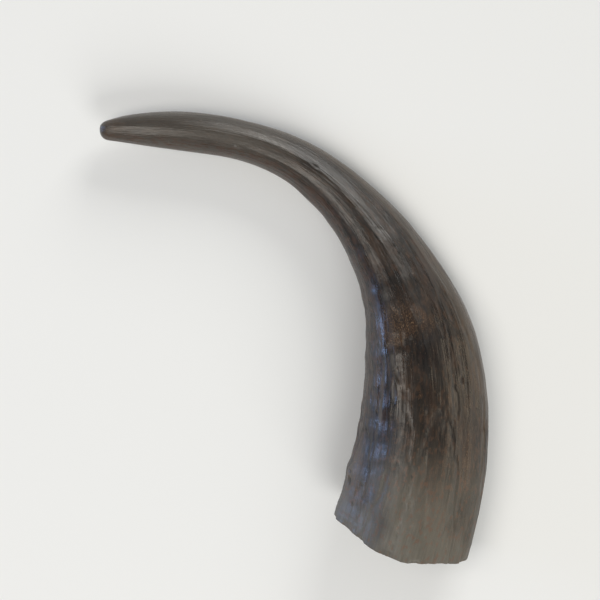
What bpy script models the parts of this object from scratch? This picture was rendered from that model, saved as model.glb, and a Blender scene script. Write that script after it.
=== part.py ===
# Buffalo horn, sold dried as a chew: one hollow sheath of grown horn, sawn off at the skull end.
#
# The horn lies on its flatter flank, curving in the horizontal plane, with its ridge upwards.
# It is a row of rings strung along a curved middle line. Each ring stands upright across the
# line. The skin is drawn ring by ring from the sawn end to the tip, then from the sawn end inwards
# along the hollow, so that the horn is one closed body.
#
# Units are metres, +Z is up. +Y runs from the sawn end towards the tip's side, +X to the right.

import math

import bmesh
import bpy
import numpy as np

# Driving dimensions -------------------------------------------------------------------------

LENGTH = 0.404          # along the middle line, from the middle of the sawn end to the tip
HOLLOW_DEPTH = 0.200    # of the hollow, along the same line
HOLLOW_POWER = 2.4      # how blunt the hollow's far end is: 2 would be half an ellipse
CUT_TILT = 19.0         # degrees that the saw leaned, so that the upper flank overhangs
CUT_LEVEL = 0.032       # height at which the leaning cut passes through the base ring
CUT_FADE = 0.075        # how far along the horn the rings take to stand upright again
WALL_SIDE = 0.0058      # thickness of the sheath at the sawn end, at either edge
WALL_FLANK = 0.0052     # and through the upper and lower flank
TIP_ROUND = 0.0096      # length of the rounded end of the tip
TIP_POWER = 2.6         # how blunt it is: 2 would be half an ellipse
BELLY = 1.2             # over 1 flattens the lower flank and sharpens the ridge
SWELL_REACH = 0.0052    # how far a growth swell spreads along the horn, either way
SWELL_SIDE = 0.65       # share of a swell's height that it has on the flanks
SWELL_INSIDE = 0.35     # what it gains inside the curve, and loses outside it

# Growth swells: how far each one's crest lies from the sawn end, and how high it stands.
SWELLS = (
    (0.009, 0.00035),
    (0.023, 0.00060),
    (0.041, 0.00045),
    (0.053, 0.00070),
    (0.072, 0.00040),
    (0.089, 0.00065),
    (0.104, 0.00035),
    (0.126, 0.00055),
    (0.143, 0.00040),
    (0.169, 0.00045),
    (0.197, 0.00030),
    (0.231, 0.00025),
)

# The horn's run from the sawn end (share 0) to the tip (share 1). heading is the direction of
# the middle line in plan, in degrees from +X; width is across it in plan and height is upwards;
# lift is the gap under it; three and four are how far the outline bulges at three and at four
# corners, as shares of its radius; lean is how far its ridge leans to the inside of the curve.
STATION_NAMES = ("share", "heading", "width", "height", "lift", "three", "four", "lean")
STATIONS = (
    (0.00, 71.7, 0.0900, 0.0580, 0.0000, 0.055, 0.030, 0.00),
    (0.15, 82.0, 0.0857, 0.0570, 0.0000, 0.060, 0.020, 0.16),
    (0.30, 97.5, 0.0748, 0.0520, 0.0000, 0.060, 0.010, 0.26),
    (0.45, 118.5, 0.0509, 0.0395, 0.0000, 0.050, 0.000, 0.24),
    (0.60, 136.9, 0.0340, 0.0290, 0.0006, 0.035, 0.000, 0.16),
    (0.75, 162.9, 0.0262, 0.0240, 0.0028, 0.020, 0.000, 0.10),
    (0.90, 178.0, 0.0233, 0.0205, 0.0062, 0.010, 0.000, 0.05),
    (1.00, 180.5, 0.0120, 0.0120, 0.0096, 0.000, 0.000, 0.00),
)

AROUND = 40             # points in a ring
OUTER_RINGS = 84        # rings from the sawn end to the start of the rounded tip
TIP_RINGS = 5           # rings on the rounded tip
HOLLOW_RINGS = 22       # rings down the hollow
RING_CROWDING = 1.25    # over 1 sets the rings closer together near the sawn end
AXIS_STEP = 0.001       # step along the middle line when its place is worked out
SMOOTH_ANGLE = 40.0     # degrees between faces above which an edge stays sharp

HORN_COLOUR = (0.095, 0.080, 0.064, 1.0)
HORN_ROUGHNESS = 0.42


# The run of the horn ------------------------------------------------------------------------

def along(name, share):
    """One column of STATIONS at a share of the length, on a smooth curve through its rows."""
    table = np.array(STATIONS)
    xs = table[:, 0]
    ys = table[:, STATION_NAMES.index(name)]
    gaps = np.diff(xs)
    rises = np.diff(ys) / gaps
    slopes = np.empty_like(ys)
    slopes[1:-1] = (rises[:-1] * gaps[1:] + rises[1:] * gaps[:-1]) / (gaps[:-1] + gaps[1:])
    slopes[0] = 1.5 * rises[0] - 0.5 * slopes[1]
    slopes[-1] = 1.5 * rises[-1] - 0.5 * slopes[-2]
    row = int(np.clip(np.searchsorted(xs, share, side="right") - 1, 0, len(xs) - 2))
    gap = gaps[row]
    t = (share - xs[row]) / gap
    start = (2 * t**3 - 3 * t**2 + 1) * ys[row] + (t**3 - 2 * t**2 + t) * gap * slopes[row]
    end = (3 * t**2 - 2 * t**3) * ys[row + 1] + (t**3 - t**2) * gap * slopes[row + 1]
    return start + end


def smooth_step(value):
    """0 below 0, 1 above 1, with a smooth rise between."""
    value = min(max(value, 0.0), 1.0)
    return value * value * (3.0 - 2.0 * value)


def direction(share):
    """Unit vector along the middle line, in plan, towards the tip."""
    angle = math.radians(along("heading", share))
    return np.array((math.cos(angle), math.sin(angle)))


def middle_line(shares):
    """Points of the middle line in plan at rising shares of the length, from the sawn end on."""
    points = []
    here = np.zeros(2)
    reached = 0.0
    for share in shares:
        steps = max(1, math.ceil((share - reached) * LENGTH / AXIS_STEP))
        for step in range(steps):
            halfway = reached + (share - reached) * (step + 0.5) / steps
            here = here + direction(halfway) * (share - reached) * LENGTH / steps
        reached = share
        points.append(here.copy())
    return points


# One ring -----------------------------------------------------------------------------------

def outline(share):
    """The horn's outline across its run: from -1 to 1 across, and from 0 to 1 upwards."""
    turn = np.linspace(0.0, 2.0 * math.pi, AROUND, endpoint=False)
    reach = 1.0 + along("three", share) * np.cos(3.0 * (turn - math.pi / 2.0))
    reach = reach + along("four", share) * np.cos(4.0 * turn)
    up = reach * np.sin(turn)
    across = reach * np.cos(turn) - along("lean", share) * up
    across = 2.0 * (across - across.min()) / np.ptp(across) - 1.0
    up = ((up - up.min()) / np.ptp(up)) ** BELLY
    return turn, across, up


def swell(share, turn):
    """Height of the growth swells, which stand highest on the inside of the curve."""
    height = 0.0
    for crest, rise in SWELLS:
        height += rise * math.exp(-((share * LENGTH - crest) / SWELL_REACH) ** 2)
    return height * (SWELL_SIDE - SWELL_INSIDE * np.cos(turn))


def place_ring(share, centre, across, up):
    """Points of a ring from distances across the horn and heights above the lowest flank."""
    forward = direction(share)
    outward = np.array((forward[1], -forward[0]))
    fade = 1.0 - smooth_step(share * LENGTH / CUT_FADE)
    slide = -(up - CUT_LEVEL) * math.tan(math.radians(CUT_TILT)) * fade
    plan = centre + np.outer(across, outward) + np.outer(slide, forward)
    return np.column_stack((plan, up + along("lift", share)))


def outer_ring(share, centre, roundness=1.0):
    """A ring of the horn's outer skin; roundness under 1 draws it in towards its middle."""
    turn, across, up = outline(share)
    half_width = 0.5 * along("width", share) * roundness
    half_height = 0.5 * along("height", share)
    rise = swell(share, turn)
    across = across * half_width + rise * np.cos(turn)
    up = half_height + (2.0 * up - 1.0) * half_height * roundness + rise * np.sin(turn)
    return place_ring(share, centre, across, up)


def hollow_ring(share, centre):
    """A ring of the hollow, which keeps the horn's outline and closes to a rounded end."""
    depth = share * LENGTH / HOLLOW_DEPTH
    closing = math.sqrt(max(0.0, 1.0 - depth**HOLLOW_POWER))
    across, up = outline(share)[1:]
    half_width = 0.5 * along("width", share)
    half_height = 0.5 * along("height", share)
    across = across * (half_width - WALL_SIDE) * closing
    up = half_height + (2.0 * up - 1.0) * (half_height - WALL_FLANK) * closing
    return place_ring(share, centre, across, up)


# The skin -----------------------------------------------------------------------------------

def set_ring(verts, order, points):
    """Move the vertices of a ring to their points, each by its number around the ring."""
    for vert in verts:
        vert.co = points[vert[order]]


def draw_on(bm, edges, order, points):
    """Extrude a ring of edges to the next ring's points. Returns the new vertices and edges."""
    made = bmesh.ops.extrude_edge_only(bm, edges=edges)["geom"]
    verts = [item for item in made if isinstance(item, bmesh.types.BMVert)]
    new_edges = [item for item in made if isinstance(item, bmesh.types.BMEdge)]
    ring = set(verts)
    new_edges = [edge for edge in new_edges if ring.issuperset(edge.verts)]
    set_ring(verts, order, points)
    return verts, new_edges


def draw_skin(bm, edges, order, rings):
    """Draw a skin over the rings and close its far end in one point, at the last ring's middle."""
    verts = []
    for points in rings:
        verts, edges = draw_on(bm, edges, order, points)
    bmesh.ops.pointmerge(bm, verts=verts, merge_co=rings[-1].mean(axis=0))


def horn_rings():
    """Every ring of the outer skin and of the hollow, each list starting at the sawn end."""
    tip_start = 1.0 - TIP_ROUND / LENGTH
    shares = [tip_start * (i / OUTER_RINGS) ** RING_CROWDING for i in range(OUTER_RINGS + 1)]
    roundness = [1.0] * len(shares)
    for i in range(1, TIP_RINGS + 1):
        q = math.sin(0.5 * math.pi * i / TIP_RINGS)
        shares.append(tip_start + (1.0 - tip_start) * q)
        roundness.append(max(0.0, 1.0 - q**TIP_POWER) ** (1.0 / TIP_POWER))
    outer = [outer_ring(*row) for row in zip(shares, middle_line(shares), roundness)]

    depths = [math.sin(0.5 * math.pi * i / HOLLOW_RINGS) for i in range(HOLLOW_RINGS + 1)]
    shares = [depth * HOLLOW_DEPTH / LENGTH for depth in depths]
    hollow = [hollow_ring(*row) for row in zip(shares, middle_line(shares))]
    return outer, hollow


def horn_mesh():
    """The whole sheath as one closed mesh, its origin under the middle of the sawn end."""
    outer, hollow = horn_rings()
    bm = bmesh.new()
    order = bm.verts.layers.int.new("around")
    bmesh.ops.create_circle(bm, cap_ends=False, segments=AROUND, radius=1.0)
    for number, vert in enumerate(bm.verts):
        vert[order] = number
    set_ring(bm.verts, order, outer[0])
    rim = list(bm.edges)
    draw_skin(bm, rim, order, outer[1:])
    draw_skin(bm, rim, order, hollow)
    bmesh.ops.triangulate(bm, faces=bm.faces[:], quad_method="BEAUTY")
    bmesh.ops.recalc_face_normals(bm, faces=bm.faces[:])
    bm.verts.layers.int.remove(order)
    mesh = bpy.data.meshes.new("horn")
    bm.to_mesh(mesh)
    bm.free()
    mesh.shade_smooth()
    mesh.set_sharp_from_angle(angle=math.radians(SMOOTH_ANGLE))
    return mesh


def horn_material():
    """Dried horn, scraped and rubbed: grey-brown with a low sheen."""
    material = bpy.data.materials.new("dried_horn")
    material.use_nodes = True
    shader = material.node_tree.nodes["Principled BSDF"]
    shader.inputs["Base Color"].default_value = HORN_COLOUR
    shader.inputs["Roughness"].default_value = HORN_ROUGHNESS
    shader.inputs["Metallic"].default_value = 0.0
    material.diffuse_color = HORN_COLOUR
    return material


def main():
    for thing in list(bpy.data.objects):
        bpy.data.objects.remove(thing, do_unlink=True)
    collection = bpy.data.collections.new("buffalo_horn")
    bpy.context.scene.collection.children.link(collection)
    horn = bpy.data.objects.new("horn", horn_mesh())
    horn.data.materials.append(horn_material())
    collection.objects.link(horn)
    # The middle of the horn's box stands over the origin, and its lowest flank lies at z = 0.
    corners = np.array([corner[:] for corner in horn.bound_box])
    low = corners.min(axis=0)
    high = corners.max(axis=0)
    horn.location = (-(low[0] + high[0]) / 2.0, -(low[1] + high[1]) / 2.0, -low[2])


main()
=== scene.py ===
import math

import bmesh
import bpy
import numpy as np
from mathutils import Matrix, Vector, noise


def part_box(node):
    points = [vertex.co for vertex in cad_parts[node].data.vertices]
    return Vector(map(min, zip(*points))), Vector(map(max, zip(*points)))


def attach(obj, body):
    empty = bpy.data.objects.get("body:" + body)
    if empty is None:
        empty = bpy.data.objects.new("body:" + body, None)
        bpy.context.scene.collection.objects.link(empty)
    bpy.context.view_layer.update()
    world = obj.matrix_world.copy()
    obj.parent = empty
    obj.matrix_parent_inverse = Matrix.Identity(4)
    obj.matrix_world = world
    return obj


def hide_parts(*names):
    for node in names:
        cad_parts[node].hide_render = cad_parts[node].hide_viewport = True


# A dried, scraped buffalo horn lying on its flatter flank. Its skin is drawn ring by ring along
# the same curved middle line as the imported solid, with the growth swells, blade flats, grooves,
# flakes and pits of the real surface modelled into it. Lengths are in metres where no other unit
# is given.

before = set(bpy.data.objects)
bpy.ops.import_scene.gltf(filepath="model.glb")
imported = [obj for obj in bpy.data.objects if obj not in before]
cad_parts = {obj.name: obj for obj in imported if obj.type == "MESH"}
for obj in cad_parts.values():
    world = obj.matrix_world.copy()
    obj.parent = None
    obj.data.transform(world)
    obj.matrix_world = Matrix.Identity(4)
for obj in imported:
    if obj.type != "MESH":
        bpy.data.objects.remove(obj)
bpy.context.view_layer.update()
MM = 0.001


# Sizes of the horn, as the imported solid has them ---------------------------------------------

LENGTH = 0.404              # along the middle line, from the middle of the sawn end to the tip
HOLLOW_DEPTH = 0.200        # of the hollow, along the same line
HOLLOW_POWER = 2.4          # how blunt the hollow's far end is: 2 would be half an ellipse
CUT_TILT = 19.0             # degrees that the saw leaned, so that the upper flank overhangs
CUT_LEVEL = 0.032           # height at which the leaning cut passes through the base ring
CUT_FADE = 0.075            # how far along the horn the rings take to stand upright again
WALL_SIDE = 0.0058          # thickness of the sheath at the sawn end, at either edge
WALL_FLANK = 0.0052         # and through the upper and lower flank
TIP_ROUND = 0.0096          # length of the rounded end of the tip
TIP_POWER = 2.6             # how blunt it is
BELLY = 1.2                 # over 1 flattens the lower flank and sharpens the ridge
SWELL_REACH = 0.0052        # how far a growth swell spreads along the horn, either way
SWELL_SIDE = 0.65           # share of a swell's height that it has on the flanks
SWELL_INSIDE = 0.35         # what it gains inside the curve, and loses outside it

# Growth swells: distance of the crest from the sawn end, and height.
SWELLS = (
    (0.009, 0.00035),
    (0.023, 0.00060),
    (0.041, 0.00045),
    (0.053, 0.00070),
    (0.072, 0.00040),
    (0.089, 0.00065),
    (0.104, 0.00035),
    (0.126, 0.00055),
    (0.143, 0.00040),
    (0.169, 0.00045),
    (0.197, 0.00030),
    (0.231, 0.00025),
)

# Run of the horn from the sawn end (share 0) to the tip (share 1): heading in degrees from +X,
# width, height and gap below, bulge at three and at four corners, lean of the ridge inwards.
STATION_NAMES = ("share", "heading", "width", "height", "lift", "three", "four", "lean")
STATIONS = np.array((
    (0.00, 71.7, 0.0900, 0.0580, 0.0000, 0.055, 0.030, 0.00),
    (0.15, 82.0, 0.0857, 0.0570, 0.0000, 0.060, 0.020, 0.16),
    (0.30, 97.5, 0.0748, 0.0520, 0.0000, 0.060, 0.010, 0.26),
    (0.45, 118.5, 0.0509, 0.0395, 0.0000, 0.050, 0.000, 0.24),
    (0.60, 136.9, 0.0340, 0.0290, 0.0006, 0.035, 0.000, 0.16),
    (0.75, 162.9, 0.0262, 0.0240, 0.0028, 0.020, 0.000, 0.10),
    (0.90, 178.0, 0.0233, 0.0205, 0.0062, 0.010, 0.000, 0.05),
    (1.00, 180.5, 0.0120, 0.0120, 0.0096, 0.000, 0.000, 0.00),
))

# Fineness of the drawn skin.
AROUND = 256                # points in a ring
OUTER_RINGS = 296           # rings from the sawn edge to the start of the rounded tip
TIP_RINGS = 12              # rings on the rounded tip
HOLLOW_RINGS = 56           # rings down the hollow
RING_CROWDING = 1.12        # over 1 sets the rings closer together near the sawn end
AXIS_STEP = 0.001           # step along the middle line when its place is worked out
EDGE_ROUND = 0.35 * MM      # how far the saw's sharp edges have worn round


def along(name, share):
    """One column of STATIONS at a share of the length, on a smooth curve through its rows."""
    xs = STATIONS[:, 0]
    ys = STATIONS[:, STATION_NAMES.index(name)]
    gaps = np.diff(xs)
    rises = np.diff(ys) / gaps
    slopes = np.empty_like(ys)
    slopes[1:-1] = (rises[:-1] * gaps[1:] + rises[1:] * gaps[:-1]) / (gaps[:-1] + gaps[1:])
    slopes[0] = 1.5 * rises[0] - 0.5 * slopes[1]
    slopes[-1] = 1.5 * rises[-1] - 0.5 * slopes[-2]
    row = int(np.clip(np.searchsorted(xs, share, side="right") - 1, 0, len(xs) - 2))
    gap = gaps[row]
    t = (share - xs[row]) / gap
    start = (2 * t**3 - 3 * t**2 + 1) * ys[row] + (t**3 - 2 * t**2 + t) * gap * slopes[row]
    end = (3 * t**2 - 2 * t**3) * ys[row + 1] + (t**3 - t**2) * gap * slopes[row + 1]
    return start + end


def smooth_step(value, low=0.0, high=1.0):
    """0 below low, 1 above high, with a smooth rise between."""
    value = np.clip((value - low) / (high - low), 0.0, 1.0)
    return value * value * (3.0 - 2.0 * value)


def direction(share):
    """Unit vector along the middle line, in plan, towards the tip."""
    angle = math.radians(along("heading", share))
    return np.array((math.cos(angle), math.sin(angle)))


def middle_line(shares):
    """Points of the middle line in plan at rising shares of the length, from the sawn end on."""
    points = []
    here = np.zeros(2)
    reached = 0.0
    for share in shares:
        steps = max(1, math.ceil((share - reached) * LENGTH / AXIS_STEP))
        for step in range(steps):
            halfway = reached + (share - reached) * (step + 0.5) / steps
            here = here + direction(halfway) * (share - reached) * LENGTH / steps
        reached = share
        points.append(here.copy())
    return points


# Marks of the skin ---------------------------------------------------------------------------

# Fuller and slacker places of the outline: distance from the sawn end in mm, turn around the
# horn in degrees, from 0 outside the curve over 90 on the ridge to 180 inside it, and half
# length, half width and height in mm.
FULLNESS = (
    (402.5, 180.0, 4.0, 7.0, 1.2),
    (398.0, 0.0, 7.0, 8.0, -0.9),
    (385.0, 0.0, 26.0, 9.0, 0.5),
    (337.0, 180.0, 20.0, 8.0, 0.5),
    (254.0, 180.0, 12.0, 8.0, 0.8),
    (208.0, 5.0, 14.0, 9.0, 0.5),
    (168.0, 7.0, 12.0, 10.0, -0.9),
    (126.0, 14.0, 20.0, 12.0, 1.4),
    (158.0, 12.0, 8.0, 10.0, 0.4),
    (92.0, 14.0, 13.0, 12.0, 0.5),
    (54.0, 170.0, 7.0, 14.0, -0.5),
    (36.0, 176.0, 6.5, 16.0, 1.3),
    (23.0, 172.0, 6.0, 14.0, -0.4),
    (3.0, 177.0, 5.0, 8.0, 0.8),
)

# Where the saw wandered: turn and half width in degrees, and how far towards the tip, in mm.
SAW_WANDER = (
    (112.0, 34.0, -0.8),
    (66.0, 14.0, 0.8),
    (17.0, 14.0, -1.1),
    (83.0, 7.0, -0.5),
    (172.0, 9.0, -0.5),
    (235.0, 30.0, 0.6),
    (300.0, 26.0, -0.5),
)

# Places where a lamina of horn has lifted off: distance of its edge from the sawn end, turn in
# degrees, length, half width and depth in mm. The edge faces the tip.
FLAKES = (
    (88.0, 66.0, 15.0, 5.5, 0.60),
    (52.0, 104.0, 20.0, 6.0, 0.40),
    (72.0, 155.0, 18.0, 6.0, 0.45),
    (134.0, 112.0, 24.0, 5.0, 0.35),
    (32.0, 38.0, 16.0, 7.0, 0.45),
    (60.0, 215.0, 26.0, 9.0, 0.50),
    (112.0, 320.0, 30.0, 8.0, 0.45),
    (36.0, 290.0, 20.0, 10.0, 0.50),
    (160.0, 28.0, 24.0, 5.0, 0.30),
)

# Pits and dents: distance from the sawn end, turn, half length, half width and depth in mm.
PITS = (
    (30.5, 166.0, 2.9, 1.7, 1.3),
    (37.0, 167.0, 1.4, 1.9, 1.1),
    (32.0, 145.0, 1.0, 1.0, 0.7),
    (17.0, 152.0, 1.4, 1.0, 0.6),
    (62.0, 140.0, 1.6, 1.1, 0.5),
    (86.0, 78.0, 1.6, 1.2, 0.5),
    (104.0, 36.0, 2.0, 1.3, 0.6),
    (134.0, 84.0, 1.5, 1.1, 0.5),
    (20.0, 84.0, 1.8, 1.4, 0.5),
    (75.0, 250.0, 2.2, 1.5, 0.7),
    (120.0, 210.0, 1.8, 1.3, 0.6),
    (262.0, 70.0, 1.6, 1.0, 0.5),
    (313.0, 109.0, 1.3, 0.9, 0.5),
    (376.0, 124.0, 0.9, 0.7, 0.4),
)

# Nicks that show paler horn: distance from the sawn end, turn, half length and half width in mm,
# and slant, which is how far along they run for each mm across.
NICKS = (
    (359.0, 132.0, 0.8, 2.2, 0.1),
    (336.0, 118.0, 0.6, 1.0, 0.0),
    (333.0, 124.0, 0.6, 1.2, 0.8),
    (313.0, 108.0, 0.8, 2.6, 0.3),
    (291.0, 96.0, 0.6, 1.4, -0.4),
    (252.0, 84.0, 0.7, 1.8, 0.2),
    (206.0, 66.0, 0.8, 1.2, -0.6),
    (128.0, 76.0, 0.9, 0.9, 0.0),
    (115.0, 71.0, 0.9, 0.8, 0.0),
    (97.0, 64.0, 1.6, 0.8, 0.2),
    (84.0, 80.0, 0.7, 3.0, -0.2),
    (99.0, 96.0, 0.8, 1.0, 0.0),
    (58.0, 98.0, 0.8, 1.8, 0.5),
    (33.0, 74.0, 0.9, 2.0, -0.3),
    (70.0, 24.0, 1.8, 0.8, 0.1),
    (150.0, 230.0, 0.8, 2.4, 0.2),
    (64.0, 268.0, 1.0, 3.0, -0.4),
)

# Chips along the sawn edge: turn in degrees, half width, length and depth in mm.
CHIPS = (
    (12.0, 3.0, 2.6, 1.1),
    (47.0, 5.0, 3.4, 0.9),
    (76.0, 2.2, 2.2, 1.3),
    (98.0, 6.5, 4.0, 0.7),
    (131.0, 2.6, 3.0, 1.2),
    (152.0, 4.2, 4.5, 1.0),
    (176.0, 2.4, 2.4, 0.9),
    (214.0, 5.0, 3.6, 1.2),
    (258.0, 3.2, 2.8, 0.8),
    (305.0, 6.0, 4.2, 1.0),
    (338.0, 2.8, 2.4, 1.1),
)

# Soft patches of the skin's colour: distance from the sawn end and turn of their middles, half
# length and half width in mm, strength.
DARK_PATCHES = (
    (126.0, 66.0, 20.0, 15.0, 0.9),
    (160.0, 97.0, 29.0, 15.0, 0.72),
    (62.0, 138.0, 34.0, 10.0, 0.95),
    (92.0, 112.0, 24.0, 6.0, 0.5),
    (86.0, 34.0, 46.0, 10.0, 0.6),
    (16.0, 106.0, 15.0, 6.0, 0.55),
    (266.0, 58.0, 24.0, 7.0, 0.8),
    (333.0, 38.0, 24.0, 5.0, 0.4),
    (238.0, 60.0, 14.0, 9.0, 0.6),
    (120.0, 260.0, 60.0, 26.0, 0.7),
    (330.0, 130.0, 30.0, 7.0, 0.4),
)
COPPER_PATCHES = (
    (146.0, 98.0, 18.0, 13.0, 1.0),
    (141.0, 66.0, 11.0, 6.0, 0.75),
    (100.0, 93.0, 34.0, 7.0, 0.42),
    (60.0, 32.0, 26.0, 6.0, 0.7),
    (38.0, 160.0, 26.0, 14.0, 0.7),
    (28.0, 66.0, 20.0, 16.0, 0.4),
    (90.0, 240.0, 40.0, 18.0, 0.8),
    (396.0, 90.0, 9.0, 20.0, 0.5),
)


# Relief of the skin --------------------------------------------------------------------------

# Patterns: how long their bumps are in mm, across, up and along the grain, and a seed.
LUMPS = ((24.0, 24.0, 46.0), 3.1)
SWELL_WAVER = ((17.0, 17.0, 40.0), 12.6)      # that bends the crests of the swells
DENTS = ((8.0, 8.0, 13.0), 9.7)
GROWTH_LINES = ((1.0, 1.0, 2.4), 1.9)
BLADE_FLATS = ((13.0, 13.0, 95.0), 5.3)
CRACKS = ((3.6, 3.6, 85.0), 21.4)
FURROWS = ((5.2, 5.2, 75.0), 17.7)
FIBRES = ((1.9, 1.9, 20.0), 14.2)
LOOSE_SKIN = ((9.0, 9.0, 34.0), 33.3)
LOOSE_SHREDS = ((3.0, 3.0, 22.0), 40.1)
RAGGED_EDGES = ((3.0, 3.0, 14.0), 27.0)
PATCH_EDGES = ((9.0, 9.0, 16.0), 44.0)
LINING_RIBS = ((4.5, 4.5, 40.0), 51.0)
LINING_GRAIN = ((2.2, 2.2, 5.0), 62.0)
LINING_LUMPS = ((14.0, 14.0, 22.0), 71.0)
SAWN_DENTS = ((5.0, 5.0, 5.0), 8.0)

# Heights and depths in mm.
SWELL_WAVER_REACH = 4.0
LUMP_HEIGHT = 0.34
DENT_HEIGHT = 0.22
GROWTH_LINE_HEIGHT = 0.15
FLAT_DEPTH = 0.25
FLAT_DEPTH_AT_BASE = 0.30   # what the flats gain there
CRACK_DEPTH = 0.12
CRACK_REACH = 0.12          # value of the pattern at which a crack ends
FURROW_HEIGHT = 0.14
FIBRE_HEIGHT = 0.09
FLAKED_DEPTH = 0.38
NICK_DEPTH = 0.16
PATCH_EDGE_REACH = 5.0
LINING_RIB_HEIGHT = 0.55
LINING_GRAIN_HEIGHT = 0.20
LINING_LUMP_HEIGHT = 0.45
SAWN_DENT_HEIGHT = 0.08
STROKE_HEIGHT = 0.04
STROKE_SPACING = 2.3        # of the saw's strokes: real ones are about 1 mm apart, too fine to show
STROKE_SLANT = 0.3          # how far a stroke runs up for each mm across

BASE_FADE = (0.25, 0.75)    # shares of the length over which the rough base gives way to the tip
FLAKED_FADE = (0.20, 0.50)  # and over which flaking ends
LOOSE_LIMITS = (0.46, 0.54)     # value of the pattern at which skin starts and ends to be loose

TURN = np.linspace(0.0, 2.0 * math.pi, AROUND, endpoint=False)
OUTSIDE = np.cos(TURN)                        # 1 outside the curve, -1 inside it
INSIDE = 0.5 - 0.5 * OUTSIDE                  # 0 outside the curve, 1 inside it


def ripple(places, size, seed):
    """Smooth noise from -1 to 1 at places in mm, its bumps size mm long in each direction."""
    scaled = places / np.array(size) + seed
    return np.array([noise.noise(place) for place in scaled.tolist()])


def facets(places, size, seed):
    """Flats left by a blade: 0 on their borders, -1 in their middles."""
    scaled = places / np.array(size) + seed
    depth = np.empty(len(places))
    for number, place in enumerate(scaled.tolist()):
        near, next_near = noise.voronoi(place)[0][:2]
        depth[number] = (2.0 * near / (near + next_near)) ** 2 - 1.0
    return depth


def at_least(least, value):
    """A value from 0 to 1 brought into the range from least to 1."""
    return least + (1.0 - least) * value


def turned_from(turn_degrees):
    """How far each point of a ring is turned from a given turn, from -pi to pi."""
    return (TURN - math.radians(turn_degrees) + math.pi) % (2.0 * math.pi) - math.pi


def spot(travel, girth, centre, turn, half_length, half_width, edge=1.0, drift=0.0):
    """1 in the middle of a spot, falling to 0 around it. Edge over 1 makes its rim steeper.

    Girth is what a radian measures around the ring, and drift shifts its points, both in mm.
    """
    off_along = (travel - centre) / half_length
    off_side = (turned_from(turn) * girth + drift) / half_width
    return np.exp(-((off_along**2 + off_side**2) ** edge))


def patches(table, travel, girth, wander):
    """How strongly a ring's points lie in a table's patches. Wander shifts the edges, in mm."""
    total = np.zeros(AROUND)
    for *place, strength in table:
        reach = spot(travel + 1.6 * wander, girth, *place, edge=1.5, drift=wander)
        total = np.maximum(total, strength * reach)
    return total


def saw_wander():
    """How far the sawn edge lies towards the tip from the plane of the cut, around a ring."""
    return sum(
        drift * MM * np.exp(-((turned_from(turn) / math.radians(half_width)) ** 2))
        for turn, half_width, drift in SAW_WANDER
    )


def grown_relief(share, places, girth):
    """What grew, in mm: swells, fuller places, lumps, dents and fine growth lines."""
    travel = share * LENGTH / MM
    base = 1.0 - smooth_step(share, *BASE_FADE)
    wavy = share * LENGTH + SWELL_WAVER_REACH * MM * ripple(places, *SWELL_WAVER)
    swell = sum(rise * np.exp(-(((wavy - crest) / SWELL_REACH) ** 2)) for crest, rise in SWELLS)
    height = swell / MM * (SWELL_SIDE - SWELL_INSIDE * OUTSIDE)
    for *place, rise in FULLNESS:
        height += rise * spot(travel, girth, *place)
    lumps = ripple(places, *LUMPS)
    height += LUMP_HEIGHT * lumps * at_least(0.35, base)
    height += DENT_HEIGHT * ripple(places, *DENTS) * at_least(0.40, base)
    # Growth lines run around the horn, so they hardly change across it. The lumps bend them.
    lines = ripple(np.column_stack((0.01 * places[:, :2], travel + 1.6 * lumps)), *GROWTH_LINES)
    height += GROWTH_LINE_HEIGHT * lines * base * at_least(0.25, INSIDE)
    return height


def scraped_relief(share, places):
    """What the blade and the drying left, in mm: flats, furrows, raised fibres and cracks."""
    base = 1.0 - smooth_step(share, *BASE_FADE)
    fibrous = at_least(0.30, base) * (1.0 - 0.55 * smooth_step(INSIDE, 0.55, 0.90))
    height = (FLAT_DEPTH + FLAT_DEPTH_AT_BASE * base) * facets(places, *BLADE_FLATS)
    height += FURROW_HEIGHT * ripple(places, *FURROWS) * fibrous
    height += FIBRE_HEIGHT * ripple(places, *FIBRES) * fibrous
    crack = np.clip(1.0 - np.abs(ripple(places, *CRACKS)) / CRACK_REACH, 0.0, 1.0)
    height -= CRACK_DEPTH * crack**1.5 * fibrous
    return height


def damage(share, places, girth):
    """What has broken off, in mm: loose skin, flakes, pits, nicks and chips.

    Returns its depth, and from 0 to 1 how much paler horn shows there.
    """
    travel = share * LENGTH / MM
    loose = ripple(places, *LOOSE_SKIN) + 0.45 * ripple(places, *LOOSE_SHREDS)
    flaked = smooth_step(loose, *LOOSE_LIMITS) * (1.0 - smooth_step(share, *FLAKED_FADE))
    lost = FLAKED_DEPTH * flaked

    # A flake breaks off steeply at its edge and runs out slowly behind it.
    ragged = ripple(places, *RAGGED_EDGES)
    for edge, turn, length, half_width, depth in FLAKES:
        off_side = turned_from(turn) * girth / half_width + 0.5 * ragged
        behind = (edge - travel) / length + 0.25 * ragged - 0.4 * off_side**2
        flake = smooth_step(behind, 0.0, 0.07) * (1.0 - smooth_step(behind, 0.1, 1.0))
        lost = lost + depth * flake
        flaked = np.maximum(flaked, 0.4 * flake)

    for *place, depth in PITS:
        lost = lost + depth * spot(travel, girth, *place, edge=1.8)

    for centre, turn, half_length, half_width, slant in NICKS:
        slanted = travel + slant * turned_from(turn) * girth
        nick = spot(slanted, girth, centre, turn, half_length, half_width, edge=1.5)
        lost = lost + NICK_DEPTH * nick
        flaked = np.maximum(flaked, nick)

    # A chip is deepest at the sawn edge and runs out along its length.
    for turn, half_width, length, depth in CHIPS:
        off_side = turned_from(turn) * girth / half_width + 0.35 * ragged
        running_out = np.clip(1.0 - travel / length + 0.1 * ragged, 0.0, 1.0)
        lost = lost + depth * np.exp(-(off_side**4)) * running_out

    return lost, flaked


# Rings of the horn ---------------------------------------------------------------------------

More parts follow.
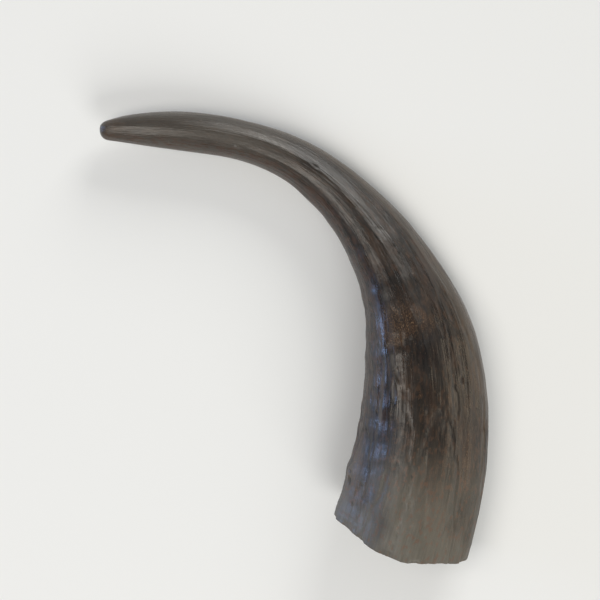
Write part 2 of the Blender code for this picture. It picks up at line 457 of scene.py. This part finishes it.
def outline(share):
    """The horn's outline across its run: from -1 to 1 across, and from 0 to 1 upwards."""
    reach = 1.0 + along("three", share) * np.cos(3.0 * (TURN - math.pi / 2.0))
    reach = reach + along("four", share) * np.cos(4.0 * TURN)
    up = reach * np.sin(TURN)
    across = reach * np.cos(TURN) - along("lean", share) * up
    across = 2.0 * (across - across.min()) / np.ptp(across) - 1.0
    up = ((up - up.min()) / np.ptp(up)) ** BELLY
    return across, up


def ring_outwards(across, up):
    """Outward unit directions of a ring's points, in the ring's own plane."""
    run = np.roll(across, -1) - np.roll(across, 1)
    climb = np.roll(up, -1) - np.roll(up, 1)
    length = np.hypot(run, climb) + 1e-12     # never 0, also where a ring has closed to a point
    return climb / length, -run / length


def place_ring(share, centre, across, up, slide=0.0):
    """Points of a ring from distances across the horn, heights, and a slide towards the tip."""
    forward = direction(share)
    outward = np.array((forward[1], -forward[0]))
    fade = 1.0 - smooth_step(share * LENGTH, 0.0, CUT_FADE)
    lean = (up - CUT_LEVEL) * math.tan(math.radians(CUT_TILT))
    slide = slide + (saw_wander() - lean) * fade
    plan = centre + np.outer(across, outward) + np.outer(slide, forward)
    return np.column_stack((plan, up + along("lift", share)))


def grain_places(share, across, up):
    """Places in mm on the straightened horn, drawn together towards the tip as its fibres are."""
    spread = math.sqrt(along("width", 0.0) / along("width", share)) / MM
    middle = 0.5 * along("height", share)
    travel = np.full(AROUND, share * LENGTH / MM)
    return np.column_stack((across * spread, (up - middle) * spread, travel))


def skin_ring(share, centre, roundness):
    """A ring of the outer skin. Roundness under 1 draws it in towards its middle.

    Returns its points, its places in the grain, its zones, its relief in mm and where it flaked.
    """
    across, up = outline(share)
    half_width = 0.5 * along("width", share)
    half_height = 0.5 * along("height", share)
    across = across * half_width * roundness
    up = half_height + (2.0 * up - 1.0) * half_height * roundness
    places = grain_places(share, across, up)
    girth = 0.5 * (half_width + half_height) / MM
    lost, flaked = damage(share, places, girth)
    height = grown_relief(share, places, girth) + scraped_relief(share, places) - lost
    side, rise = ring_outwards(across, up)
    lift = height * MM * roundness
    points = place_ring(share, centre, across + lift * side, up + lift * rise)

    travel = share * LENGTH / MM
    wander = PATCH_EDGE_REACH * ripple(places, *PATCH_EDGES)
    dark = patches(DARK_PATCHES, travel, girth, wander)
    copper = patches(COPPER_PATCHES, travel, girth, wander)
    zones = np.column_stack((dark, copper, np.full(AROUND, travel)))
    return points, places, zones, height, flaked


def depths_below(heights):
    """How far each point lies below its surroundings, in steps of 0.2 mm."""
    mean = heights
    for _ in range(14):                       # averages over about 7 points each way
        around = np.roll(mean, 1, axis=1) + np.roll(mean, -1, axis=1)
        ahead = np.vstack((mean[1:], mean[-1:]))
        behind = np.vstack((mean[:1], mean[:-1]))
        mean = (2.0 * mean + around + ahead + behind) / 6.0
    return (mean - heights) / 0.2


def hollow_outline(share):
    """The hollow's outline across and up, and how far it has closed towards its end."""
    depth = share * LENGTH / HOLLOW_DEPTH
    closing = math.sqrt(max(0.0, 1.0 - depth**HOLLOW_POWER))
    across, up = outline(share)
    half_width = 0.5 * along("width", share)
    half_height = 0.5 * along("height", share)
    across = across * (half_width - WALL_SIDE) * closing
    up = half_height + (2.0 * up - 1.0) * (half_height - WALL_FLANK) * closing
    return across, up, closing


def lining(share):
    """The hollow's lining across and up, ribbed along where the bony core's vessels ran.

    Returns its distances across and up, and its places in the grain.
    """
    across, up, closing = hollow_outline(share)
    places = grain_places(share, across, up)
    into_wall = LINING_RIB_HEIGHT * ripple(places, *LINING_RIBS)
    into_wall += LINING_GRAIN_HEIGHT * ripple(places, *LINING_GRAIN)
    into_wall += LINING_LUMP_HEIGHT * ripple(places, *LINING_LUMPS)
    into_wall *= MM * min(1.0, 4.0 * closing)     # runs out where the hollow closes
    side, rise = ring_outwards(across, up)
    return across + into_wall * side, up + into_wall * rise, places


def hollow_ring(share, centre):
    """A ring of the hollow's lining: its points, and their places in the grain."""
    across, up, places = lining(share)
    return place_ring(share, centre, across, up), places


def cut_ring(depth, centre, edge_height):
    """A ring of the sawn face, at a depth into the wall from 0 (outer edge) to 1 (inner edge).

    Its grain is the grown layers: how deep in the wall, and where around the horn.
    """
    outer_across, outer_up = outline(0.0)
    outer_across = outer_across * 0.5 * along("width", 0.0)
    outer_up = outer_up * along("height", 0.0)
    inner_across, inner_up = lining(0.0)[:2]
    across = outer_across + (inner_across - outer_across) * depth
    up = outer_up + (inner_up - outer_up) * depth

    wall = 0.5 * (WALL_SIDE + WALL_FLANK)
    from_edge = min(depth, 1.0 - depth) * wall
    into_edge = max(0.0, EDGE_ROUND - from_edge)
    worn = EDGE_ROUND - math.sqrt(max(0.0, EDGE_ROUND**2 - into_edge**2))
    rough = ripple(np.column_stack((across, up, np.zeros(AROUND))) / MM, *SAWN_DENTS)
    strokes = (across + STROKE_SLANT * up) / (STROKE_SPACING * MM)
    stroke = np.sin(2.0 * math.pi * strokes + 2.0 * rough)
    slide = worn + (STROKE_HEIGHT * stroke + SAWN_DENT_HEIGHT * rough) * MM
    out = edge_height * MM * (1.0 - depth) ** 2
    side, rise = ring_outwards(across, up)
    points = place_ring(0.0, centre, across + out * side, up + out * rise, slide)

    radius = 0.5 * along("width", 0.0) / MM
    layer = np.full(AROUND, depth * wall / MM)
    return points, np.column_stack((layer, radius * np.cos(TURN), radius * np.sin(TURN)))


def skin_rings(first):
    """Rings of the skin from the sawn edge, at share first of the length, to the tip.

    Returns them and the height of the relief at the sawn edge, in mm.
    """
    tip_start = 1.0 - TIP_ROUND / LENGTH
    shares = [
        first + (tip_start - first) * (i / OUTER_RINGS) ** RING_CROWDING
        for i in range(OUTER_RINGS + 1)
    ]
    roundness = [1.0] * len(shares)
    for i in range(1, TIP_RINGS + 1):
        q = math.sin(0.5 * math.pi * i / TIP_RINGS)
        shares.append(tip_start + (1.0 - tip_start) * q)
        roundness.append(max(0.0, 1.0 - q**TIP_POWER) ** (1.0 / TIP_POWER))
    rows = [skin_ring(*row) for row in zip(shares, middle_line(shares), roundness)]
    points, places, zones, heights, flaked = zip(*rows)
    below = depths_below(np.array(heights))

    # How far each point lies on the outside of the curve, less so by the sawn end. Its outer strip
    # is painted paler, partly as rubbed wear and partly as a painted reflection along the edge.
    outer_side = [
        OUTSIDE * at_least(0.72, smooth_step(share * LENGTH, 0.050, 0.105)) for share in shares
    ]
    marks = [np.column_stack(row) for row in zip(below, flaked, outer_side)]
    return list(zip(points, places, marks, zones)), heights[0]


def horn_rings():
    """Rings of the skin from the sawn edge to the tip, and of the cut face and the hollow."""
    first = EDGE_ROUND / LENGTH
    skin, edge_height = skin_rings(first)

    edge = EDGE_ROUND / WALL_SIDE
    depths = (0.3 * edge, edge, 0.25, 0.42, 0.58, 0.75, 1.0 - edge, 1.0 - 0.3 * edge)
    cut = [cut_ring(depth, np.zeros(2), edge_height) for depth in depths]

    hollow_end = HOLLOW_DEPTH / LENGTH
    shares = [
        first + math.sin(0.5 * math.pi * i / HOLLOW_RINGS) * (hollow_end - first)
        for i in range(HOLLOW_RINGS + 1)
    ]
    hollow = [hollow_ring(*row) for row in zip(shares, middle_line(shares))]
    return skin, cut, hollow


# Drawing the skin ----------------------------------------------------------------------------

SKIN, CUT, LINING = range(3)      # numbers of the horn's three finishes


def set_ring(verts, layers, ring):
    """Move a ring's vertices to its points and note their grain and, on the skin, their marks
    and zones."""
    order, *notes = layers
    points, *values = ring
    for vert in verts:
        number = vert[order]
        vert.co = points[number]
        for layer, column in zip(notes, values):
            vert[layer] = column[number]


def draw_skin(bm, edges, layers, rings, finish):
    """Extrude a ring of edges from ring to ring. Returns the last ring's vertices and edges."""
    verts = []
    for ring in rings:
        made = bmesh.ops.extrude_edge_only(bm, edges=edges)["geom"]
        verts = [item for item in made if isinstance(item, bmesh.types.BMVert)]
        found = set(verts)
        edges = [
            item for item in made
            if isinstance(item, bmesh.types.BMEdge) and found.issuperset(item.verts)
        ]
        for item in made:
            if isinstance(item, bmesh.types.BMFace):
                item.material_index = finish
        set_ring(verts, layers, ring)
    return verts, edges


def face_number(face, count):
    """A number that no other face has, made of the face's vertices, of which there are count."""
    first, second, *_, last = sorted(vert.index for vert in face.verts)
    return (first * count + second) * count + last


def horn_mesh():
    """The whole sheath as one closed mesh."""
    skin, cut, hollow = horn_rings()
    bm = bmesh.new()
    layers = (
        bm.verts.layers.int.new("around"),
        bm.verts.layers.float_vector.new("grain"),
        bm.verts.layers.float_vector.new("marks"),
        bm.verts.layers.float_vector.new("zones"),
    )
    bmesh.ops.create_circle(bm, cap_ends=False, segments=AROUND, radius=1.0)
    for number, vert in enumerate(bm.verts):
        vert[layers[0]] = number
    set_ring(bm.verts, layers, skin[0])
    rim = list(bm.edges)
    last = draw_skin(bm, rim, layers, skin[1:], SKIN)[0]
    bmesh.ops.pointmerge(bm, verts=last, merge_co=skin[-1][0].mean(axis=0))
    rim = draw_skin(bm, rim, layers, cut, CUT)[1]
    last = draw_skin(bm, rim, layers, hollow, LINING)[0]
    bmesh.ops.pointmerge(bm, verts=last, merge_co=hollow[-1][0].mean(axis=0))
    bmesh.ops.recalc_face_normals(bm, faces=bm.faces[:])
    # Extruding lists the faces in an order that changes from run to run, so they are sorted.
    bm.verts.index_update()
    bm.faces.sort(key=lambda face: face_number(face, len(bm.verts)))
    bm.verts.layers.int.remove(layers[0])
    mesh = bpy.data.meshes.new("horn_sheath")
    bm.to_mesh(mesh)
    bm.free()
    mesh.shade_smooth()
    return mesh


def lay_on_solid(mesh):
    """Move the mesh so that its box stands on the solid's box and shares its middle in plan."""
    corners = np.array([vert.co[:] for vert in mesh.vertices])
    low = corners.min(axis=0)
    high = corners.max(axis=0)
    solid_low, solid_high = (np.array(corner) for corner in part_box("horn"))
    shift = (solid_low + solid_high - low - high) / 2.0
    shift[2] = solid_low[2] - low[2]
    mesh.vertices.foreach_set("co", (corners + shift).ravel())


# Finishes ------------------------------------------------------------------------------------

MIX_FIRST, MIX_SECOND, MIX_RESULT = 6, 7, 2      # colour sockets of a Mix node

# Numbers of the first roughness layer and the first bump, which set their patterns apart.
FIRST_ROUGH = 20
FIRST_BUMP = 40

# Vertex values that a layer can be kept to: attribute and axis.
DEEP, FLAKED, OUTER_SIDE = (("marks", axis) for axis in range(3))
DARK, COPPER, TRAVEL = (("zones", axis) for axis in range(3))


def colour(code):
    """An sRGB hex colour as the linear values that a shader takes."""
    parts = [int(code[i:i + 2], 16) / 255.0 for i in (0, 2, 4)]
    linear = [c / 12.92 if c <= 0.04045 else ((c + 0.055) / 1.055) ** 2.4 for c in parts]
    return (*linear, 1.0)


def add(tree, kind, inputs, out=0, **settings):
    """Add a node with its settings and inputs, which are values or outputs. Returns one output."""
    made = tree.nodes.new(kind)
    for name, value in settings.items():
        setattr(made, name, value)
    for socket, value in inputs.items():
        if isinstance(value, bpy.types.NodeSocket):
            tree.links.new(value, made.inputs[socket])
        else:
            made.inputs[socket].default_value = value
    return made.outputs[out] if made.outputs else None


def layered_material(name, ground, layers, roughness, rough_layers, bumps, ior):
    """A finish of colour layers over a ground colour, with layers of roughness and fine bumps.

    A layer is noise stretched along the grain: size in mm across, up and along, detail, the noise
    values between which it fades in, strength, and its colour. Some are kept to a vertex value,
    which follows with its two limits. A layer of roughness has what it adds for its strength, and
    no colour. A bump is its size, detail and height in mm.
    """
    material = bpy.data.materials.new(name)
    material.use_nodes = True
    tree = material.node_tree
    tree.nodes.clear()
    fields = {
        field: add(tree, "ShaderNodeAttribute", {}, "Vector", attribute_name=field)
        for field in ("grain", "marks", "zones")
    }

    def mask(number, size, detail, low, high, strength, kept_to=None):
        """Where a layer lies, from 0 to its strength. Its number sets its pattern apart."""
        scale = [1.0 / length for length in size]
        place = {0: fields["grain"], 1: scale}
        place = add(tree, "ShaderNodeVectorMath", place, operation="MULTIPLY")
        place = {0: place, 1: (7.3 * number, 1.9, 4.7)}
        place = add(tree, "ShaderNodeVectorMath", place, operation="ADD")
        pattern = {"Vector": place, "Scale": 1.0, "Detail": detail}
        pattern = add(tree, "ShaderNodeTexNoise", pattern)
        if kept_to:
            (field, axis), start, full = kept_to
            value = add(tree, "ShaderNodeSeparateXYZ", {0: fields[field]}, axis)
            limits = {"Value": value, "From Min": start, "From Max": full, "To Max": strength}
            strength = add(tree, "ShaderNodeMapRange", limits, interpolation_type="SMOOTHSTEP")
        limits = {"Value": pattern, "From Min": low, "From Max": high, "To Max": strength}
        return add(tree, "ShaderNodeMapRange", limits, interpolation_type="SMOOTHSTEP")

    tone = colour(ground)
    for number, (size, detail, low, high, strength, code, *kept_to) in enumerate(layers):
        share = mask(number, size, detail, low, high, strength, *kept_to)
        sockets = {0: share, MIX_FIRST: tone, MIX_SECOND: colour(code)}
        tone = add(tree, "ShaderNodeMix", sockets, MIX_RESULT, data_type="RGBA")
    rough = roughness
    for number, layer in enumerate(rough_layers, FIRST_ROUGH):
        rough = add(tree, "ShaderNodeMath", {0: mask(number, *layer), 1: rough}, operation="ADD")
    height = 0.0
    for number, (size, detail, amount) in enumerate(bumps, FIRST_BUMP):
        share = mask(number, size, detail, 0.25, 0.75, amount)
        height = add(tree, "ShaderNodeMath", {0: share, 1: height}, operation="ADD")
    normal = add(tree, "ShaderNodeBump", {"Height": height, "Distance": MM, "Strength": 1.0})
    shader = add(tree, "ShaderNodeBsdfPrincipled", {
        "Base Color": tone,
        "Roughness": rough,
        "IOR": ior,
        "Normal": normal,
    })
    add(tree, "ShaderNodeOutputMaterial", {"Surface": shader})
    return material


def scraped_skin():
    """Buffalo horn, dried and scraped with a blade.

    It is nearly black keratin with a close grain. The blade leaves a low, broken sheen along the
    grain, the outer strip of the curve is paler from rubbing and from a painted reflection along
    its edge, the tip's half has a painted haze of reflected light, and the end towards the saw cut
    has dried out grey.
    """
    # Real fibres are about 0.1 mm wide and real specks 0.2 mm. They are drawn as coarse as it
    # takes to show them with the whole horn in view: fibres from 1.2 mm, specks from 0.45 mm.
    grain = (
        ((5.0, 5.0, 120.0), 3.0, 0.42, 0.64, 0.52, "2b241c"),      # paler bundles of fibre
        ((1.2, 1.2, 40.0), 2.0, 0.46, 0.66, 0.20, "43382c"),       # single fibres
        ((1.4, 1.4, 24.0), 2.0, 0.52, 0.66, 0.36, "0d0b0b"),       # dark fibres between them
        ((10.0, 10.0, 22.0), 4.0, 0.48, 0.66, 0.50, "35261b"),     # brown stains
        ((30.0, 30.0, 60.0), 3.0, 0.46, 0.66, 0.10, "4c463e"),     # drier, paler areas
        ((3.0, 3.0, 5.0), 4.0, 0.50, 0.64, 0.50, "463223"),        # brown mottling
    )
    wear_and_painted_light = (
        # A paler grey over the tip's half: a painted haze of reflected light.
        ((30.0, 30.0, 90.0), 3.0, 0.10, 0.50, 0.66, "524d46", (TRAVEL, 210.0, 330.0)),
        # Copper mottling inside the curve, and the haze of the copper patches.
        ((3.4, 3.4, 4.6), 3.0, 0.46, 0.56, 0.52, "463024", (OUTER_SIDE, -0.30, -0.55)),
        ((3.0, 3.0, 4.0), 3.0, 0.20, 0.60, 0.45, "4b3423", (COPPER, 0.1, 0.9)),
        # Places that flaked off, and the outer strip of the curve: paler from rubbing, and a
        # painted reflection along its edge.
        ((7.0, 7.0, 20.0), 3.0, 0.20, 0.60, 0.38, "5a5146", (FLAKED, 0.3, 1.0)),
        ((6.0, 6.0, 50.0), 3.0, 0.20, 0.60, 0.36, "62574a", (OUTER_SIDE, 0.84, 1.0)),
        # Dust in what lies low, rubbed ridges, and painted shade at the bottom of the pits.
        ((2.0, 2.0, 6.0), 3.0, 0.40, 0.70, 0.18, "8b8478", (DEEP, 0.3, 1.2)),
        ((1.5, 1.5, 9.0), 3.0, 0.35, 0.65, 0.25, "564d43", (DEEP, -0.3, -1.2)),
        ((3.0, 3.0, 3.0), 1.0, 0.10, 0.30, 0.85, "0e0b0a", (DEEP, 1.4, 3.0)),
    )
    dry_base = (
        # The dry grey base, with its dark fibres, stains and red-brown spots.
        ((30.0, 30.0, 40.0), 3.0, 0.16, 0.50, 0.68, "6f6c62", (TRAVEL, 74.0, 8.0)),
        ((1.3, 1.3, 26.0), 2.0, 0.46, 0.64, 0.34, "4c4841", (TRAVEL, 70.0, 14.0)),
        ((9.0, 9.0, 15.0), 4.0, 0.46, 0.62, 0.28, "565046", (TRAVEL, 60.0, 10.0)),
        ((2.6, 2.6, 3.4), 4.0, 0.53, 0.65, 0.42, "684836", (TRAVEL, 100.0, 30.0)),
    )
    patches_and_specks = (
        # Dark patches, then the copper patches' specks in two sizes, and a few strays.
        ((20.0, 20.0, 30.0), 2.0, 0.00, 0.30, 0.64, "0d0b0c", (DARK, 0.1, 0.9)),
        ((0.8, 0.8, 1.1), 2.0, 0.62, 0.68, 0.75, "80684f", (COPPER, 0.15, 0.9)),
        ((0.45, 0.45, 0.6), 1.0, 0.60, 0.68, 0.60, "84694e", (COPPER, 0.2, 1.0)),
        ((0.8, 0.8, 1.4), 1.0, 0.70, 0.76, 0.35, "78604a"),
    )
    duller = (
        ((6.0, 6.0, 30.0), 3.0, 0.40, 0.65, 0.10),                          # broken sheen
        ((1.2, 1.2, 12.0), 2.0, 0.45, 0.65, 0.08),                          # fibres in it
        ((9.0, 9.0, 20.0), 2.0, 0.20, 0.45, 0.20, (TRAVEL, 110.0, 10.0)),   # dry base
        ((3.0, 3.0, 8.0), 2.0, 0.20, 0.50, 0.16, (DEEP, 0.2, 1.0)),         # dusty low places
    )
    bumps = (
        ((1.0, 1.0, 30.0), 2.0, 0.06),      # fibres
        ((2.6, 2.6, 60.0), 2.0, 0.10),      # bundles of them
        ((1.4, 1.4, 2.4), 3.0, 0.04),       # pores
    )
    return layered_material(
        "scraped_horn_skin", ground="191512", layers=grain + wear_and_painted_light + dry_base + patches_and_specks,
        roughness=0.235, rough_layers=duller, bumps=bumps, ior=1.5,
    )


def sawn_horn():
    """Buffalo horn cut across with a saw: matt, its grown layers shown as pale and dark lines."""
    # Real layers are about 0.1 mm thick. They are drawn three to four times coarser, to show.
    layers = (
        ((0.45, 14.0, 14.0), 2.0, 0.42, 0.60, 0.7, "6b5c4b"),      # pale grown layers
        ((0.30, 9.0, 9.0), 2.0, 0.52, 0.66, 0.6, "251e19"),        # dark lines between them
        ((6.0, 6.0, 6.0), 3.0, 0.45, 0.65, 0.5, "51412f"),         # brown stains
        ((1.5, 3.0, 3.0), 3.0, 0.50, 0.68, 0.4, "8a7d6c"),         # saw dust left in the strokes
    )
    duller = (
        ((1.0, 3.0, 3.0), 2.0, 0.4, 0.7, 0.16),                    # torn places
    )
    bumps = (
        ((0.45, 12.0, 12.0), 2.0, 0.10),    # grown layers
        ((0.8, 1.2, 1.2), 2.0, 0.03),       # teeth of the saw
    )
    return layered_material(
        "sawn_horn_end", ground="3e342b", layers=layers,
        roughness=0.46, rough_layers=duller, bumps=bumps, ior=1.55,
    )


def hollow_lining():
    """Dried horn where the bony core came away: never scraped, so it is fibrous, dull and dusty."""
    # Its fibres are about 0.3 mm wide. They are drawn from 1.2 mm on, to show.
    layers = (
        ((2.0, 2.0, 45.0), 3.0, 0.42, 0.62, 0.7, "7c6e5d"),        # pale fibres
        ((12.0, 12.0, 20.0), 4.0, 0.48, 0.62, 0.6, "3e3228"),      # stains left by the core
        ((1.2, 1.2, 3.0), 3.0, 0.58, 0.70, 0.5, "978a77"),         # dust
    )
    duller = (
        ((3.0, 3.0, 10.0), 2.0, 0.4, 0.7, 0.12),                   # dusty places
    )
    bumps = (
        ((1.2, 1.2, 14.0), 3.0, 0.18),      # fibres
        ((1.0, 1.0, 1.5), 3.0, 0.12),       # pores
    )
    return layered_material(
        "dried_horn_lining", ground="4f453b", layers=layers,
        roughness=0.72, rough_layers=duller, bumps=bumps, ior=1.5,
    )


def plain_material(name, code, roughness):
    """Matt paint of one colour, which keeps the shadows on it soft."""
    made = bpy.data.materials.new(name)
    made.use_nodes = True
    shader = made.node_tree.nodes["Principled BSDF"]
    shader.inputs["Base Color"].default_value = colour(code)
    shader.inputs["Roughness"].default_value = roughness
    return made


# The horn ------------------------------------------------------------------------------------

def build_horn():
    """The dressed horn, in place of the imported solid."""
    mesh = horn_mesh()
    lay_on_solid(mesh)
    horn = bpy.data.objects.new("horn_sheath", mesh)
    bpy.context.scene.collection.objects.link(horn)
    for finish in (scraped_skin, sawn_horn, hollow_lining):     # in the order SKIN, CUT, LINING
        mesh.materials.append(finish())
    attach(horn, "root")
    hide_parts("horn")


# Stage, light and camera ---------------------------------------------------------------------

CAMERA_FAR = 1.5            # from the camera to the level of the horn's widest outline
OUTLINE_LEVEL = 0.025       # height of that level
VIEW_WIDTH = 0.3834         # that the photograph's frame takes in at that level
AIM = (0.00378, 0.02306)    # point of the plan that the camera looks straight down on
SENSOR = 36.0               # width of the camera's sensor in mm
FLOOR_REACH = 4.0           # of the floor from its middle, each way
SKY = ("eceef2", 0.24)      # colour and strength of the light from all around

# Soft boxes: name, place, width and height, power in watts, colour.
LIGHTS = (
    ("key_softbox", (-0.60, -0.12, 1.35), (0.8, 0.9), 9.5, "fff8ee"),
    ("warm_side", (2.10, 0.10, 0.26), (1.4, 0.4), 5.5, "ffe8c8"),
    ("cool_side", (-2.02, 0.56, 0.18), (0.8, 0.32), 17.0, "a4c6ff"),
    ("rear_softbox", (0.90, 1.95, 0.90), (1.3, 0.9), 28.0, "fffdf8"),
    ("front_fill", (0.80, -1.80, 1.35), (1.5, 1.5), 30.0, "fffdf8"),
)


def build_floor():
    """The plain pale floor that the horn lies on."""
    bm = bmesh.new()
    bmesh.ops.create_grid(bm, x_segments=1, y_segments=1, size=FLOOR_REACH)
    mesh = bpy.data.meshes.new("floor")
    bm.to_mesh(mesh)
    bm.free()
    floor = bpy.data.objects.new("floor", mesh)
    bpy.context.scene.collection.objects.link(floor)
    mesh.materials.append(plain_material("matt_painted_floor", "e8eaea", 0.8))


def build_light(name, place, size, energy, code):
    """A soft rectangular light at a place, pointing at the horn."""
    lamp = bpy.data.lights.new(name, "AREA")
    lamp.shape = "RECTANGLE"
    lamp.size, lamp.size_y = size
    lamp.energy = energy
    lamp.color = colour(code)[:3]
    light = bpy.data.objects.new(name, lamp)
    light.location = place
    light.rotation_euler = (-Vector(place)).to_track_quat("-Z", "Y").to_euler()
    bpy.context.scene.collection.objects.link(light)


def build_camera():
    """The camera, looking straight down as the photograph does."""
    lens = bpy.data.cameras.new("camera")
    lens.sensor_width = SENSOR
    lens.lens = SENSOR * CAMERA_FAR / VIEW_WIDTH
    camera = bpy.data.objects.new("camera", lens)
    camera.location = (*AIM, OUTLINE_LEVEL + CAMERA_FAR)
    bpy.context.scene.collection.objects.link(camera)
    bpy.context.scene.camera = camera


def build_world():
    """Even light from all around, and colours shown as they are."""
    world = bpy.data.worlds.new("studio")
    world.use_nodes = True
    background = world.node_tree.nodes["Background"]
    code, strength = SKY
    background.inputs["Color"].default_value = colour(code)
    background.inputs["Strength"].default_value = strength
    bpy.context.scene.world = world
    bpy.context.scene.view_settings.view_transform = "Standard"


build_horn()
build_floor()
for light in LIGHTS:
    build_light(*light)
build_camera()
build_world()
